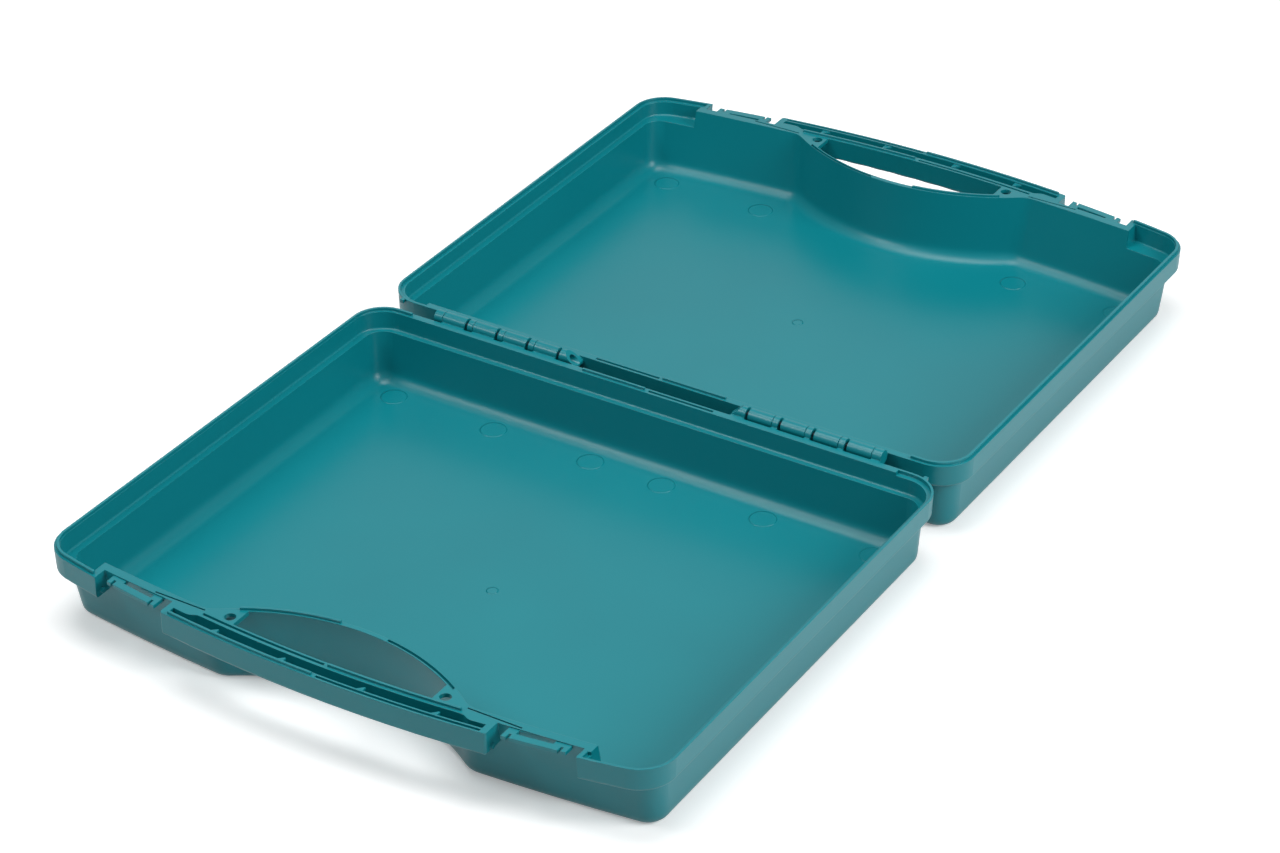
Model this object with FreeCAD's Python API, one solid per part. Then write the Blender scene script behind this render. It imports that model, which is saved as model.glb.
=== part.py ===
import FreeCAD
import Part
import math
import os

# Hard tool case, lying open: two equal shells hinged along X, with a carrying handle in each front wall.
# All lengths are in millimetres. The base shell lies at -Y, the lid shell at +Y, and +Z is up.

# Overall size
half_width = 180.5
handle_reach = 313.7
shell_height = 43.4
parting_gap = 0.3
axis_z = shell_height + parting_gap / 2

# Rim band and outline
hinge_offset = 5.2
bow_radius = 800.0
side_splay = 1.0
front_corner_radius = 20.0
hinge_corner_radius = 20.0
band_height = 13.2
band_draft = 0.5
band_edge_radius = 2.0

# Lower body
wall = 2.6
rim_wall = 3.0
hinge_rim_wall = 4.0
body_inset = 4.6
body_draft = 3.0
recess_depth = 9.3
front_inset_top = 12.5
front_inset_bottom = 21.3
front_wall_top = 4.9
bottom_bow_radius = 1255.0
body_corner_radius = 11.0
body_hinge_corner = 14.0
bottom_radius = 6.0
floor_radius = 6.2
ledge_radius = 1.2

# Corner blocks and latch stations, which share out the room between block and handle
block_inset = 40.0
block_draft = 1.0
block_end_wall = 4.0
block_edge_radius = 1.6
station_gap_share = 0.13717
station_offset = 2.4
station_drop = 0.6
station_thickness = 2.0
slot_inner_share = 0.25885
slot_outer_share = 0.6792
slot_offset = 6.5
notch_width = 1.5
notch_depth = 3.2
lug_length = 2.6
pip_radius = 1.4
pip_height = 1.0
pip_drop = 10.2
pip_offset = 5.0

# Handle beam and finger opening
handle_half = 95.3
handle_thickness = 13.6
handle_outer_wall = 3.5
handle_inner_wall = 4.3
handle_end_wall = 3.8
handle_floor = 2.4
handle_edge_radius = 1.8
channel_narrow_x = 76.0
channel_blend = 8.0
channel_end_offset = 6.7
web_length = 4.6
web_depth = 3.8
web_tip_share = 0.15
web_drop = 0.9
web_thickness = 1.6
web_root = 0.5
web_positions = (-62.0, -20.5, 26.0, 67.0)
bulge_radius = 122.0
bulge_reach = 43.4
bulge_blend = 11.0
plate_thickness = 2.4
plate_start_x = 58.2
plate_end_x = 88.0
hole_x = 63.2
hole_inset = 20.2
hole_radius = 3.0

# Tongue and rebate round the rim
tongue_inset = 1.35
tongue_width = 1.4
tongue_height = 1.7
lip_width = 1.25
rebate_depth = 1.9
rebate_reach = 5.0
hinge_plain_inset = 28.5

# Narrow tongues and grooves on the middle walls
rib_tongue_width = 1.2
rib_tongue_height = 1.4
groove_width = 1.6
groove_depth = 1.7
inner_joint_inset = 1.9
centre_margin = 0.9
end_margin = 0.5
hinge_rim_gap = 7.0
arc_rim_start = 13.5
arc_rim_end = 63.0
relief_overlap = 18.3
relief_share = 0.26991
relief_width = 1.0
relief_depth = 4.0
relief_y = -295.3

# Hinge
barrel_radius = 4.0
pin_radius = 1.6
pin_clearance = 0.06
hinge_end_inset = 40.6
group_pitch = 19.9
slot_width = 1.8
side_gap = 0.3
ring_length = 3.4
end_ring_length = 5.4
spoon_length = 7.3
first_ring_length = 3.0
spoon_mouth_radius = 2.9
spoon_tip_rise = 2.4
leaf_overlap = 1.0
pin_lead = 2.3
blind_depth = 2.2
pin_end_gap = 0.4
pin_chamfer = 0.4
nib_inset = 13.2
nib_length = 2.2
nib_out = 0.8
nib_depth = 4.0
nib_height = 2.0

# Working margins
over = 5.0
far = 400.0
turns_long = 4
edge_slack = 0.03

front_centre_y = bow_radius - handle_reach
bottom_centre_y = bottom_bow_radius - handle_reach + front_inset_bottom
bulge_centre_y = -(handle_reach - bulge_reach) - bulge_radius
hinge_face_y = -hinge_offset
floor_z = wall
band_z = shell_height - band_height
ledge_z = band_z + wall
side_tilt = math.atan(side_splay / handle_reach)

# What follows the case's width
block_x = half_width - block_inset
latch_room = block_x - handle_half
station_inner_x = handle_half + station_gap_share * latch_room
station_outer_x = block_x - station_gap_share * latch_room
slot_inner_x = handle_half + slot_inner_share * latch_room
slot_outer_x = handle_half + slot_outer_share * latch_room
relief_start = handle_half - relief_overlap
relief_end = handle_half + relief_share * latch_room
hinge_plain_x = half_width - hinge_plain_inset
nib_x = half_width - nib_inset
group_start = half_width - hinge_end_inset - turns_long * group_pitch + ring_length - end_ring_length
pin_start_x = group_start - pin_lead
hinge_rim_half = group_start - first_ring_length - spoon_length - hinge_rim_gap


def vec(x, y, z=0.0):
    return FreeCAD.Vector(x, y, z)


def line(a, b):
    return Part.LineSegment(a, b).toShape()


def arc(cx, cy, r, a0, a1, z):
    """Arc about (cx, cy) from angle a0 to a1, in radians."""
    am = (a0 + a1) / 2
    pts = [vec(cx + r * math.cos(a), cy + r * math.sin(a), z) for a in (a0, am, a1)]
    return Part.Arc(*pts).toShape()


def box(x0, x1, y0, y1, z0, z1):
    return Part.makeBox(x1 - x0, y1 - y0, z1 - z0, vec(x0, y0, z0))


def corner_bearing(reach, bow, centre, corner):
    """Bearing from the bow's centre to a front corner that touches both the bow and the side."""
    share = (reach - corner - centre * math.sin(side_tilt)) / (bow - corner)
    return side_tilt + math.asin(share)


def outline(z, reach, bow, centre, bearing, top, hinge_corner):
    """Closed plan outline as a list of edges: bowed front, splayed sides, rounded corners."""
    turn = math.sin(bearing - side_tilt)
    corner = (reach - centre * math.sin(side_tilt) - bow * turn) / (1 - turn)
    cx = (bow - corner) * math.sin(bearing)
    cy = centre - (bow - corner) * math.cos(bearing)
    hy = top - hinge_corner
    hx = (reach - hinge_corner - hy * math.sin(side_tilt)) / math.cos(side_tilt)
    quarter = math.pi / 2
    front = bearing - quarter
    upper = vec(hx + hinge_corner * math.cos(side_tilt), hy + hinge_corner * math.sin(side_tilt), z)
    lower = vec(cx + corner * math.cos(side_tilt), cy + corner * math.sin(side_tilt), z)
    return [line(vec(hx, top, z), vec(-hx, top, z)),
            arc(-hx, hy, hinge_corner, quarter, math.pi - side_tilt, z),
            line(vec(-upper.x, upper.y, z), vec(-lower.x, lower.y, z)),
            arc(-cx, cy, corner, math.pi - side_tilt, math.pi - front, z),
            arc(0.0, centre, bow, -math.pi - front, front, z),
            arc(cx, cy, corner, front, side_tilt, z),
            line(lower, upper),
            arc(hx, hy, hinge_corner, side_tilt, quarter, z)]


def wall_face(high, low):
    """Drafted wall between one edge of the high outline and the same edge of the low one."""
    a, b = [e.valueAt(e.FirstParameter) for e in (high, low)]
    c, d = [e.valueAt(e.LastParameter) for e in (high, low)]
    if isinstance(high.Curve, Part.Line):
        return Part.Face(Part.makePolygon([a, b, d, c, a]))
    shift = low.Curve.Center - high.Curve.Center
    if math.hypot(shift.x, shift.y) > edge_slack:
        return Part.makeRuledSurface(high, low)
    turn = math.degrees(high.LastParameter - high.FirstParameter)
    return line(a, b).revolve(high.Curve.Center, high.Curve.Axis, turn)


def skin(low, high):
    """Solid between two outlines whose edges pair up."""
    faces = [wall_face(b, a) for a, b in zip(low, high)]
    faces += [Part.Face(Part.Wire(low)), Part.Face(Part.Wire(high))]
    shell = Part.makeShell(faces)
    shell.sewShape()
    return Part.makeSolid(shell)


def prism(wire, height):
    return Part.Face(wire).extrude(vec(0.0, 0.0, height))


def strip(off0, off1, x0, x1, z0, z1):
    """Bar that follows the bowed front between two insets and two X positions."""
    rings = []
    for off in (off0, off1):
        r = bow_radius - off
        angles = [math.asin(x / r) - math.pi / 2 for x in (x0, x1)]
        rings.append(arc(0.0, front_centre_y, r, angles[0], angles[1], z0))
    ends = [line(rings[0].Vertexes[i].Point, rings[1].Vertexes[i].Point) for i in (0, 1)]
    return prism(Part.Wire([rings[0], ends[1], rings[1], ends[0]]), z1 - z0)


def bulge_strip(off0, off1, x0, x1, z0, z1):
    """Bar that follows the wall round the finger opening."""
    rings = []
    for off in (off0, off1):
        r = bulge_radius + off
        angles = [math.pi / 2 - math.asin(x / r) for x in (x0, x1)]
        rings.append(arc(0.0, bulge_centre_y, r, angles[0], angles[1], z0))
    ends = [line(rings[0].Vertexes[i].Point, rings[1].Vertexes[i].Point) for i in (0, 1)]
    return prism(Part.Wire([rings[0], ends[1], rings[1], ends[0]]), z1 - z0)


def rod(x0, x1, r):
    return Part.makeCylinder(r, x1 - x0, vec(x0, 0.0, axis_z), vec(1.0, 0.0, 0.0))


def edges_at(solid, z):
    return [e for e in solid.Edges if all(abs(v.Z - z) < edge_slack for v in e.Vertexes)]


def both(make):
    return [make(1.0), make(-1.0)]


def mirrored(shape):
    return shape.mirror(vec(0.0, 0.0), vec(1.0, 0.0))


# The rim's front corner, which also sets how far out the sides reach
rim_bearing = math.asin((half_width - front_corner_radius) / (bow_radius - front_corner_radius))
rim_corner_y = front_centre_y - (bow_radius - front_corner_radius) * math.cos(rim_bearing)
side_reach = (front_corner_radius + (half_width - front_corner_radius) * math.cos(side_tilt)
              + rim_corner_y * math.sin(side_tilt))


def rim_outline(z, inset, hinge_inset=None):
    """The rim's outline, drawn in all round."""
    top_inset = inset if hinge_inset is None else hinge_inset
    return outline(z, side_reach - inset, bow_radius - inset, front_centre_y, rim_bearing,
                   hinge_face_y - top_inset, hinge_corner_radius - inset)


# Lower body and rim band, outside and inside
def body_form(z0, inset, front_top, front_extra):
    """Drafted tray with a bowed front and a round hollow for the fingers, before its bottom radius."""
    reach = side_reach - body_inset - inset
    bow = bottom_bow_radius - front_extra
    corner = body_corner_radius - inset
    bearing = corner_bearing(reach - body_draft, bow, bottom_centre_y, corner)
    top = hinge_face_y - body_inset - inset
    low = outline(z0, reach - body_draft, bow, bottom_centre_y, bearing, top - body_draft,
                  body_hinge_corner - body_draft - inset)
    high = outline(shell_height, reach, bow + front_inset_bottom + front_extra - front_top,
                   bottom_centre_y, bearing, top, body_hinge_corner - inset)
    hollow = Part.makeCone(bulge_radius + body_draft + inset, bulge_radius + inset,
                           shell_height - z0, vec(0.0, bulge_centre_y, z0))
    solid = skin(low, high).cut(hollow)
    ends = [e for e in solid.Edges if e.BoundBox.ZLength > band_height
            and abs(e.CenterOfMass.x) < block_x]
    return solid.makeFillet(bulge_blend + wall - inset, ends)


def make_body():
    solid = body_form(0.0, 0.0, front_inset_top, 0.0)
    return solid.makeFillet(bottom_radius, edges_at(solid, 0.0))


def make_band():
    solid = skin(rim_outline(band_z, band_draft), rim_outline(shell_height, 0.0))
    solid = solid.makeFillet(band_edge_radius, edges_at(solid, band_z))
    return solid.cut(make_recess(0.0))


def make_recess(widen):
    """Room between the two corner blocks, from the front in."""
    x_low = block_x + block_draft + widen
    x_high = block_x + widen
    y0 = -handle_reach - over
    pts = [vec(-x_low, y0, band_z - over), vec(x_low, y0, band_z - over),
           vec(x_high, y0, shell_height + over), vec(-x_high, y0, shell_height + over)]
    face = Part.Face(Part.makePolygon(pts + pts[:1]))
    return face.extrude(vec(0.0, bulge_reach + 3 * over, 0.0))


def make_body_cavity():
    solid = body_form(floor_z, wall, front_inset_top + front_wall_top, wall)
    solid = solid.makeFillet(floor_radius, edges_at(solid, floor_z))
    top = [e for e in solid.Edges if e.BoundBox.ZMin > shell_height - parting_gap]
    lid = Part.Face(Part.Wire(Part.__sortEdges__(top))).extrude(vec(0.0, 0.0, over))
    return solid.fuse(lid)


def make_band_cavity():
    low = rim_outline(ledge_z, rim_wall + band_draft, hinge_rim_wall + band_draft)
    high = rim_outline(shell_height + over, rim_wall, hinge_rim_wall)
    solid = skin(low, high)
    solid = solid.makeFillet(ledge_radius, edges_at(solid, ledge_z))
    return solid.cut(make_recess(block_end_wall))


# Handle beam with its open channel, gusset plates and latch stations
def bow_point(x, offset, z):
    r = bow_radius - offset
    return vec(x, front_centre_y - math.sqrt(r ** 2 - x ** 2), z)


def make_handle():
    solid = strip(0.0, handle_thickness, -handle_half, handle_half, band_z, shell_height)
    front_y = bow_point(handle_half, handle_outer_wall, band_z).y
    corners = [e for e in solid.Edges if e.BoundBox.YMax < front_y and e.BoundBox.XLength < wall]
    solid = solid.makeFillet(block_edge_radius, corners)
    return solid.makeFillet(handle_edge_radius, edges_at(solid, band_z))


def bow_arc(offset, x0, x1, z):
    pts = [bow_point(x, offset, z) for x in (x0, (x0 + x1) / 2, x1)]
    return Part.Arc(*pts).toShape()


def make_channel():
    """Open channel that narrows in an S-curve towards each end."""
    z0 = band_z + handle_floor
    inner = handle_thickness - handle_inner_wall
    end_x = handle_half - handle_end_wall
    wide_x = channel_narrow_x
    slim_x = channel_narrow_x + channel_blend
    mid_x = (wide_x + slim_x) / 2
    edges = [bow_arc(handle_outer_wall, -end_x, end_x, z0),
             bow_arc(inner, -wide_x, wide_x, z0)]
    for sign in (1.0, -1.0):
        poles = [bow_point(sign * wide_x, inner, z0), bow_point(sign * mid_x, inner, z0),
                 bow_point(sign * mid_x, channel_end_offset, z0),
                 bow_point(sign * slim_x, channel_end_offset, z0)]
        curve = Part.BezierCurve()
        curve.setPoles(poles)
        edges.append(curve.toShape())
        edges.append(bow_arc(channel_end_offset, sign * slim_x, sign * end_x, z0))
        edges.append(line(bow_point(sign * end_x, channel_end_offset, z0),
                          bow_point(sign * end_x, handle_outer_wall, z0)))
    wire = Part.Wire(Part.__sortEdges__(edges))
    return prism(wire, shell_height + over - z0)


def make_web(x):
    """Small triangular web that stiffens the handle's outer wall just below the rim."""
    z0 = shell_height - web_drop - web_thickness
    tip = handle_outer_wall + web_depth
    back = handle_outer_wall - web_root
    pts = [bow_point(x - web_length, back, z0), bow_point(x, back, z0), bow_point(x, tip, z0),
           bow_point(x - web_length * web_tip_share, tip, z0),
           bow_point(x - web_length, handle_outer_wall, z0)]
    return prism(Part.makePolygon(pts + pts[:1]), web_thickness)


def make_plate(sign):
    x0, x1 = sorted((sign * plate_start_x, sign * plate_end_x))
    z0 = shell_height - plate_thickness
    slab = strip(handle_thickness - handle_inner_wall / 2, hole_inset + handle_thickness, x0, x1,
                 z0, shell_height)
    disc = Part.makeCylinder(bulge_radius + rim_wall / 2, plate_thickness,
                             vec(0.0, bulge_centre_y, z0))
    return slab.common(disc)


def make_station(sign):
    """Slotted ledge below the rim, with a lug and a notch at each end."""
    z1 = shell_height - station_drop
    z0 = z1 - station_thickness
    x0, x1 = sorted((sign * station_inner_x, sign * station_outer_x))
    solid = strip(station_offset, recess_depth + wall, x0, x1, z0, z1)
    x0, x1 = sorted((sign * slot_inner_x, sign * slot_outer_x))
    solid = solid.cut(strip(slot_offset, recess_depth, x0, x1, z0 - over, z1 + over))
    starts = (station_inner_x + lug_length, station_outer_x - lug_length - notch_width)
    for start in starts:
        x0, x1 = sorted((sign * start, sign * (start + notch_width)))
        cut = strip(0.0, station_offset + notch_depth, x0, x1, z0 - over, z1 + over)
        solid = solid.cut(cut)
    return solid


def make_pip(sign, x):
    """Small round stud on an end face, either side of it."""
    start = bow_point(sign * x, pip_offset, shell_height - pip_drop) - vec(pip_height, 0.0)
    return Part.makeCylinder(pip_radius, 2 * pip_height, start, vec(1.0, 0.0, 0.0))


def make_hole(sign):
    y = -handle_reach + hole_inset
    return Part.makeCylinder(hole_radius, plate_thickness + 2 * over,
                             vec(sign * hole_x, y, shell_height - plate_thickness - over))


# Rim joint: a tongue on the -X half, a rebate on the +X half
def rim_keep(solid, sign):
    """Leaves only the corner block, the side and the hinge corner of one half."""
    block_end = block_x + block_end_wall - tongue_width
    y_mid = -handle_reach / 2
    front_cut = box(-far, block_end, -far, y_mid, -over, far)
    back_cut = box(-far, hinge_plain_x, y_mid, far, -over, far)
    cuts = front_cut.fuse(back_cut)
    if sign < 0:
        cuts = mirrored(cuts)
    return solid.cut(cuts)


def rim_ring(inset, width, z0, z1):
    """Ring that follows the rim between two insets."""
    rings = [prism(Part.Wire(rim_outline(z0, w)), z1 - z0) for w in (inset, inset + width)]
    return rings[0].cut(rings[1])


def make_tongue():
    ring = rim_ring(tongue_inset, tongue_width, shell_height - rebate_depth / 2,
                    shell_height + tongue_height)
    return rim_keep(ring, -1.0)


def make_rebate():
    ring = rim_ring(lip_width, rebate_reach, shell_height - rebate_depth, shell_height + over)
    return rim_keep(ring, 1.0)


def middle_joint(maker, centre, x0, x1, tongue_sign):
    """Returns a narrow tongue on one half of a wall and its groove on the other half."""
    z = shell_height
    w = rib_tongue_width / 2
    g = groove_width / 2
    a, b = sorted((tongue_sign * x0, tongue_sign * x1))
    tongue = maker(centre - w, centre + w, a + end_margin, b - end_margin,
                   z - groove_depth / 2, z + rib_tongue_height)
    a, b = sorted((-tongue_sign * x0, -tongue_sign * x1))
    groove = maker(centre - g, centre + g, a, b, z - groove_depth, z + over)
    return tongue, groove


def hinge_strip(off0, off1, x0, x1, z0, z1):
    return box(x0, x1, hinge_face_y - off1, hinge_face_y - off0, z0, z1)


# Hinge: long barrels on the -X side, rings and a pin lead-in on the +X side
def leaf(x0, x1):
    block = box(x0, x1, hinge_face_y - leaf_overlap, 0.0, axis_z - barrel_radius, shell_height)
    return block.fuse(rod(x0, x1, barrel_radius))


def ring_spans():
    spans = []
    for i in range(turns_long):
        x1 = group_start + i * group_pitch
        length = ring_length if i else first_ring_length
        spans.append((x1 - length, x1))
    last = group_start + turns_long * group_pitch - ring_length
    spans.append((last, last + end_ring_length))
    return spans


def barrel_spans():
    spans = []
    for i in range(turns_long):
        x0 = group_start + i * group_pitch + slot_width
        spans.append((x0, group_start + (i + 1) * group_pitch - ring_length - side_gap))
    return spans


def make_spoon():
    """Open half trough that guides the pin into the first ring."""
    x1 = ring_spans()[0][0]
    x0 = x1 - spoon_length
    trough = leaf(x0, x1)
    mouth = Part.makeCone(spoon_mouth_radius, pin_radius, spoon_length,
                          vec(x0, 0.0, axis_z), vec(1.0, 0.0, 0.0))
    y0 = -far
    pts = [vec(x0 - over, y0, axis_z - spoon_tip_rise), vec(x0, y0, axis_z - spoon_tip_rise),
           vec(x1, y0, axis_z + barrel_radius), vec(x1, y0, axis_z + 2 * barrel_radius),
           vec(x0 - over, y0, axis_z + 2 * barrel_radius)]
    sky = Part.Face(Part.makePolygon(pts + pts[:1])).extrude(vec(0.0, 2 * far, 0.0))
    keep = box(x0 - over, x1 + over, -far, hinge_face_y, 0.0, far)
    return trough.cut(mouth).cut(sky.cut(keep))


def make_hinge_half():
    solids = [leaf(a, b) for a, b in ring_spans()]
    solids += [mirrored(leaf(a, b)) for a, b in barrel_spans()]
    solids.append(make_spoon())
    return solids


def make_bores():
    x0 = ring_spans()[0][0] - side_gap
    x1 = ring_spans()[-1][1]
    r = pin_radius + pin_clearance
    blind = rod(x0, x1 - blind_depth, r)
    through = rod(-x1 - over, -group_start, r)
    return [blind, through]


def make_nib():
    return box(nib_x - nib_length / 2, nib_x + nib_length / 2, hinge_face_y - nib_depth,
               hinge_face_y + nib_out, shell_height - nib_height, shell_height)


def make_relief(sign):
    """Thin slot that parts the handle's root from the tray wall."""
    x0, x1 = sorted((sign * relief_start, sign * relief_end))
    return box(x0, x1, relief_y - relief_width / 2, relief_y + relief_width / 2,
               shell_height - relief_depth, shell_height + over)


def make_shell():
    solid = make_body().fuse(make_band())
    adds = [make_handle()] + both(make_plate) + both(make_station) + make_hinge_half()
    adds += [make_pip(s, x) for s in (1.0, -1.0) for x in (block_x, handle_half)]
    adds.append(make_nib())
    solid = solid.fuse(adds)
    solid = solid.cut([make_body_cavity(), make_band_cavity(), make_channel()])
    cuts = [make_rebate()] + both(make_relief) + both(make_hole) + make_bores()
    adds = [make_tongue()] + [make_web(x) for x in web_positions]
    joints = (
        (hinge_strip, hinge_rim_wall / 2, centre_margin, hinge_rim_half, -1.0),
        (strip, handle_outer_wall / 2, centre_margin, handle_half - handle_end_wall, -1.0),
        (strip, handle_thickness - inner_joint_inset, centre_margin, channel_narrow_x, 1.0),
        (bulge_strip, rim_wall / 2, arc_rim_start, arc_rim_end, -1.0),
    )
    for job in joints:
        tongue, groove = middle_joint(*job)
        adds.append(tongue)
        cuts.append(groove)
    solid = solid.cut(cuts)
    return solid.fuse(adds).removeSplitter()


def make_pin():
    """Plain steel pin with chamfered ends, pushed in from the middle of the case."""
    end = ring_spans()[-1][1] - blind_depth - pin_end_gap
    pin = rod(pin_start_x, end, pin_radius)
    return pin.makeChamfer(pin_chamfer, [e for e in pin.Edges if len(e.Vertexes) == 1])


def main():
    os.makedirs("parts", exist_ok=True)
    shell = make_shell()
    pin = make_pin()
    parts = {"base_shell": shell, "hinge_pin_right": pin}
    for name, shape in (("lid_shell", shell), ("hinge_pin_left", pin)):
        turned = shape.copy()
        turned.rotate(vec(0.0, 0.0), vec(0.0, 0.0, 1.0), 180)
        parts[name] = turned
    for name, shape in parts.items():
        shape.exportStep("parts/" + name + ".step")
        b = shape.BoundBox
        print(name, shape.isValid(), shape.ShapeType, len(shape.Solids), len(shape.Faces),
              "volume %.0f" % shape.Volume,
              "x %.1f %.1f y %.1f %.1f z %.1f %.1f" % (b.XMin, b.XMax, b.YMin, b.YMax, b.ZMin, b.ZMax))


main()
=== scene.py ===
import math
import bpy
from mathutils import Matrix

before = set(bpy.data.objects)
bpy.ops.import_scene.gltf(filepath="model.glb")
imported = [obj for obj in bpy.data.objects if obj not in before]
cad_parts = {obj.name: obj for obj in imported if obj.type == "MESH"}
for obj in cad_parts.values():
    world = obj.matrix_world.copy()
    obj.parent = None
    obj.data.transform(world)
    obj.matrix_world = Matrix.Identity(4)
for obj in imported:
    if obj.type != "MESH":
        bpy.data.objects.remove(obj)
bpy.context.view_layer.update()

# Case shells
# The base and the lid are the same tray, injection moulded in satin teal polypropylene.
# They lie back to back, hinged along one edge, and each front wall carries half of the handle.
shell_nodes = ("base_shell", "lid_shell")
teal = "#088690"
deep_teal = "#047C87"
polypropylene_ior = 1.49

# Slow drift of colour and gloss where the melt flowed through the mould
flow_width = 0.09
flow_detail = 2.0
glossy_roughness = 0.28
dull_roughness = 0.34

# Fine spark-eroded grain of the mould, drawn a little coarser than real so that it shows
grain_width = 0.0006
grain_height = 0.00002
grain_detail = 1.0

# Every moulded edge has a small rounding, and the foot of each wall a wide one
edge_rounding = 0.0004
foot_rounding = 0.0065
foot_height = 0.011
foot_fade = 0.018
rounding_samples = 8

# Round marks left on the inner floor by the ejector pins, and by the gate in its middle
floor_height = 0.0026
ejector_radius = 0.0077
ejector_places = (
    (0.0224, 0.029), (0.0849, 0.029), (0.151, 0.029),
    (0.0849, 0.264), (0.151, 0.264),
)
gate_radius = 0.0034
gate_places = ((0.0, 0.159),)
mark_edge = 0.0008
mark_height = 0.0006


def colour(code):
    """Linear colour of an sRGB hex value."""
    parts = [int(code[i:i + 2], 16) / 255 for i in (1, 3, 5)]
    linear = [p / 12.92 if p <= 0.04045 else ((p + 0.055) / 1.055) ** 2.4 for p in parts]
    return linear + [1.0]


def add(tree, kind, settings=None, values=None, links=None):
    """Adds a node with its settings, its socket values and its incoming links."""
    node = tree.nodes.new("ShaderNode" + kind)
    for key, value in (settings or {}).items():
        setattr(node, key, value)
    for key, value in (values or {}).items():
        node.inputs[key].default_value = value
    for key, source in (links or {}).items():
        tree.links.new(source, node.inputs[key])
    return node.outputs


def new_material(name):
    """An empty node material with its tree."""
    material = bpy.data.materials.new(name)
    material.use_nodes = True
    material.node_tree.nodes.clear()
    return material, material.node_tree


def dress(names, material):
    """Gives the CAD nodes of these names their finish."""
    for name in names:
        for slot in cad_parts[name].material_slots:
            slot.material = material


def round_marks(tree, place, centres, radius):
    """Height from 0 to 1 of flat round marks, the same in all four quarters of the open case."""
    folded = add(tree, "VectorMath", {"operation": "ABSOLUTE"}, links={0: place})[0]
    nearest = None
    for x, y in centres:
        away = add(tree, "VectorMath", {"operation": "DISTANCE"},
                   {1: (x, y, floor_height)}, {0: folded})["Value"]
        if nearest is None:
            nearest = away
        else:
            nearest = add(tree, "Math", {"operation": "MINIMUM"}, links={0: nearest, 1: away})[0]
    return add(tree, "MapRange", {"interpolation_type": "SMOOTHSTEP"},
               {"From Min": radius - mark_edge, "From Max": radius, "To Min": 1.0, "To Max": 0.0},
               {"Value": nearest})[0]


# Injection-moulded polypropylene, satin from a spark-eroded mould.
# It gives the eye soft broad highlights, a faint grain, and a slight drift of the teal.
def moulded_polypropylene():
    material, tree = new_material("moulded_polypropylene")
    place = add(tree, "TexCoord")["Object"]
    flow = add(tree, "TexNoise", values={"Scale": 1 / flow_width, "Detail": flow_detail},
               links={"Vector": place})["Fac"]
    paint = add(tree, "MixRGB", values={1: colour(deep_teal), 2: colour(teal)}, links={0: flow})[0]
    rough = add(tree, "MapRange", values={"To Min": glossy_roughness, "To Max": dull_roughness},
                links={"Value": flow})[0]

    up = add(tree, "SeparateXYZ", links={0: place})["Z"]
    rounding = add(tree, "MapRange",
                   values={"From Min": foot_height, "From Max": foot_fade,
                           "To Min": foot_rounding, "To Max": edge_rounding},
                   links={"Value": up})[0]
    rounded = add(tree, "Bevel", {"samples": rounding_samples}, links={"Radius": rounding})[0]

    grain = add(tree, "TexNoise", values={"Scale": 1 / grain_width, "Detail": grain_detail},
                links={"Vector": place})["Fac"]
    grained = add(tree, "Bump", values={"Strength": 1.0, "Distance": grain_height},
                  links={"Height": grain, "Normal": rounded})[0]

    pins = round_marks(tree, place, ejector_places, ejector_radius)
    gates = round_marks(tree, place, gate_places, gate_radius)
    both = add(tree, "Math", {"operation": "MAXIMUM"}, links={0: pins, 1: gates})[0]
    inside = add(tree, "Math", {"operation": "GREATER_THAN"}, {1: floor_height / 2}, {0: up})[0]
    marks = add(tree, "Math", {"operation": "MULTIPLY"}, links={0: both, 1: inside})[0]
    marked = add(tree, "Bump", values={"Strength": 1.0, "Distance": mark_height},
                 links={"Height": marks, "Normal": grained})[0]

    shader = add(tree, "BsdfPrincipled", values={"IOR": polypropylene_ior},
                 links={"Base Color": paint, "Roughness": rough, "Normal": marked})[0]
    add(tree, "OutputMaterial", links={"Surface": shader})
    return material


dress(shell_nodes, moulded_polypropylene())

# Hinge pins
# Two plain pins of drawn steel wire, 3.2 mm thick, pushed in from the middle of the hinge.
# Each one runs through the knuckles of both shells and stays in its blind last ring.
pin_nodes = ("hinge_pin_right", "hinge_pin_left")
dull_steel = "#85848A"
draw_line_length = 0.02
draw_line_width = 0.00008
draw_line_height = 0.000004
draw_line_detail = 2.0
draw_line_strength = 0.6
bright_line_roughness = 0.22
dull_line_roughness = 0.38


# Cold-drawn steel wire, left dull from the die.
# It gives the eye a dark grey glint between the rings, with fine lines along its length.
def drawn_steel_wire():
    material, tree = new_material("drawn_steel_wire")
    place = add(tree, "TexCoord")["Object"]
    stretch = (1 / draw_line_length, 1 / draw_line_width, 1 / draw_line_width)
    along = add(tree, "Mapping", values={"Scale": stretch}, links={"Vector": place})[0]
    lines = add(tree, "TexNoise", values={"Scale": 1.0, "Detail": draw_line_detail},
                links={"Vector": along})["Fac"]
    rough = add(tree, "MapRange",
                values={"To Min": bright_line_roughness, "To Max": dull_line_roughness},
                links={"Value": lines})[0]
    bump = add(tree, "Bump", values={"Strength": draw_line_strength, "Distance": draw_line_height},
               links={"Height": lines})[0]
    shader = add(tree, "BsdfPrincipled", values={"Base Color": colour(dull_steel), "Metallic": 1.0},
                 links={"Roughness": rough, "Normal": bump})[0]
    add(tree, "OutputMaterial", links={"Surface": shader})
    return material


dress(pin_nodes, drawn_steel_wire())

# Floor
# A wide sheet of matt white paper. It keeps the soft shadow of the case.
# Past the shadow it is exposed to pure white, as the photo's background is.
floor_side = 12.0
paper_white = "#FFFFFF"
bounce_grey = "#CECECE"
shadow_reach = 0.75
shadow_lift = 0.28
white_reach = 1.6
white_level = 1.0


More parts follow.
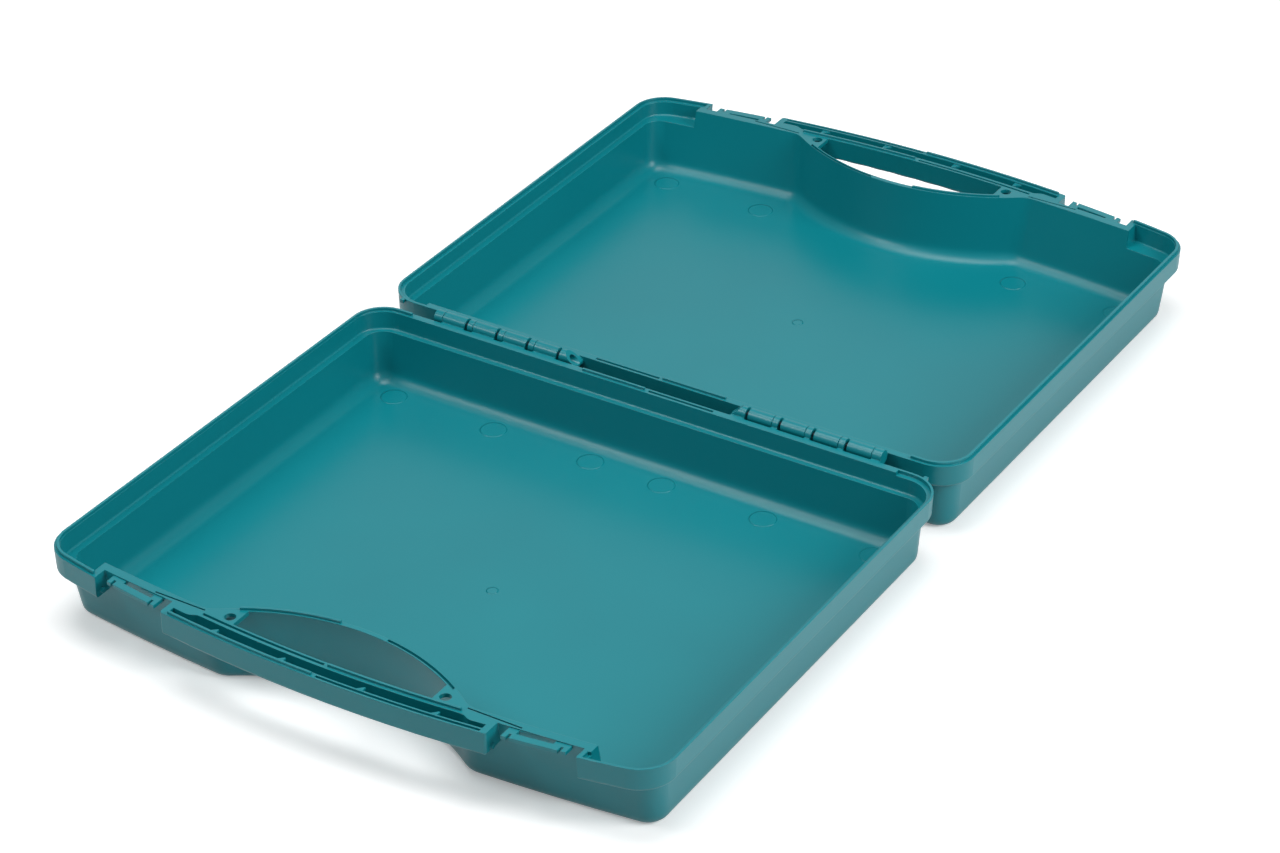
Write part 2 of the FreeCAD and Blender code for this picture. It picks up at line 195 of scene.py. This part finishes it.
# Matt white paper: no gloss, and a little grey in what it throws back on the case.
def white_paper():
    material, tree = new_material("white_paper")
    light_path = add(tree, "LightPath")
    tone = add(tree, "MixRGB", values={1: colour(bounce_grey), 2: colour(paper_white)},
               links={0: light_path["Is Camera Ray"]})[0]
    paper = add(tree, "BsdfDiffuse", links={"Color": tone})[0]

    seen = light_path["Is Camera Ray"]
    for kind in ("Is Glossy Ray", "Is Transmission Ray"):
        seen = add(tree, "Math", {"operation": "MAXIMUM"}, links={0: seen, 1: light_path[kind]})[0]
    place = add(tree, "TexCoord")["Object"]
    away = add(tree, "VectorMath", {"operation": "LENGTH"}, links={0: place})["Value"]
    lift = add(tree, "MapRange", {"interpolation_type": "SMOOTHSTEP"},
               {"From Min": shadow_reach, "From Max": white_reach,
                "To Min": shadow_lift, "To Max": white_level},
               {"Value": away})[0]
    level = add(tree, "Math", {"operation": "MULTIPLY"}, links={0: seen, 1: lift})[0]
    glow = add(tree, "Emission", links={"Strength": level})[0]
    both = add(tree, "AddShader", links={0: paper, 1: glow})[0]
    add(tree, "OutputMaterial", links={"Surface": both})
    return material


bpy.ops.object.select_all(action="DESELECT")
bpy.ops.mesh.primitive_plane_add(size=floor_side, location=(0.0, 0.0, 0.0))
floor = bpy.context.active_object
floor.name = "floor"
floor.data.materials.append(white_paper())

# Softboxes
# A large one hangs high over the case, and a second one stands on its right.
# A small one on the front left draws the highlights along the feet of the walls.
top_place = (-0.15, -0.1, 1.75)
top_size = (0.9, 1.3)
top_power = 17.5
right_place = (1.55, 0.05, 1.05)
right_size = (0.9, 0.9)
right_power = 20.0
left_place = (-0.82, -1.12, 1.3)
left_size = (0.4, 0.4)
left_power = 7.0


def softbox(name, place, size, power):
    """A rectangular lamp that looks at the middle of the hinge."""
    data = bpy.data.lights.new(name, "AREA")
    data.shape = "RECTANGLE"
    data.size, data.size_y = size
    data.energy = power
    lamp = bpy.data.objects.new(name, data)
    bpy.context.scene.collection.objects.link(lamp)
    x, y, z = place
    lamp.location = place
    lamp.rotation_euler = (math.atan2(math.hypot(x, y), z), 0.0, math.atan2(x, -y))


softbox("top_softbox", top_place, top_size, top_power)
softbox("left_softbox", left_place, left_size, left_power)
softbox("right_softbox", right_place, right_size, right_power)

# Backdrop
# A white backdrop stands behind the case on the left, and the rest of the room is dim.
# The plastic's sheen shows the room as it is, and the camera sees white all round.
backdrop_white = "#FFFFFF"
backdrop_aim = (-0.45, 0.88, 0.15)
backdrop_edge = 0.72
backdrop_full = 0.94
backdrop_level = 0.78
room_level = 0.16
seen_level = 1.0

world = bpy.data.worlds.new("studio")
bpy.context.scene.world = world
world.use_nodes = True
world.node_tree.nodes.clear()
room = world.node_tree
light_path = add(room, "LightPath")
direction = add(room, "TexCoord")["Generated"]
toward = add(room, "VectorMath", {"operation": "DOT_PRODUCT"},
             {1: backdrop_aim}, {0: direction})["Value"]
lit = add(room, "MapRange",
          values={"From Min": backdrop_edge, "From Max": backdrop_full,
                  "To Min": room_level, "To Max": backdrop_level},
          links={"Value": toward})[0]
seen = add(room, "Math", {"operation": "MAXIMUM"},
           links={0: light_path["Is Camera Ray"], 1: light_path["Is Transmission Ray"]})[0]
level = add(room, "MapRange", values={"To Max": seen_level}, links={"Value": seen, "To Min": lit})[0]
sky = add(room, "Background", values={"Color": colour(backdrop_white)}, links={"Strength": level})[0]
add(room, "OutputWorld", links={"Surface": sky})

# Camera
# It stands right of the front, two metres away, and looks down on the open case.
# Its place and its focal length in pixels were fitted to the photo's outlines.
camera_place = (0.8811, -1.4547, 1.0786)
camera_turn = 31.454
camera_drop = 31.974
focal_length_px = 3709.8
photo_width_px = 1280.0
sensor_width_mm = 36.0

camera_data = bpy.data.cameras.new("camera")
camera_data.sensor_width = sensor_width_mm
camera_data.lens = focal_length_px / photo_width_px * sensor_width_mm
camera = bpy.data.objects.new("camera", camera_data)
bpy.context.scene.collection.objects.link(camera)
camera.location = camera_place
camera.rotation_euler = (math.radians(90 - camera_drop), 0.0, math.radians(camera_turn))
bpy.context.scene.camera = camera
bpy.context.scene.view_settings.view_transform = "Standard"
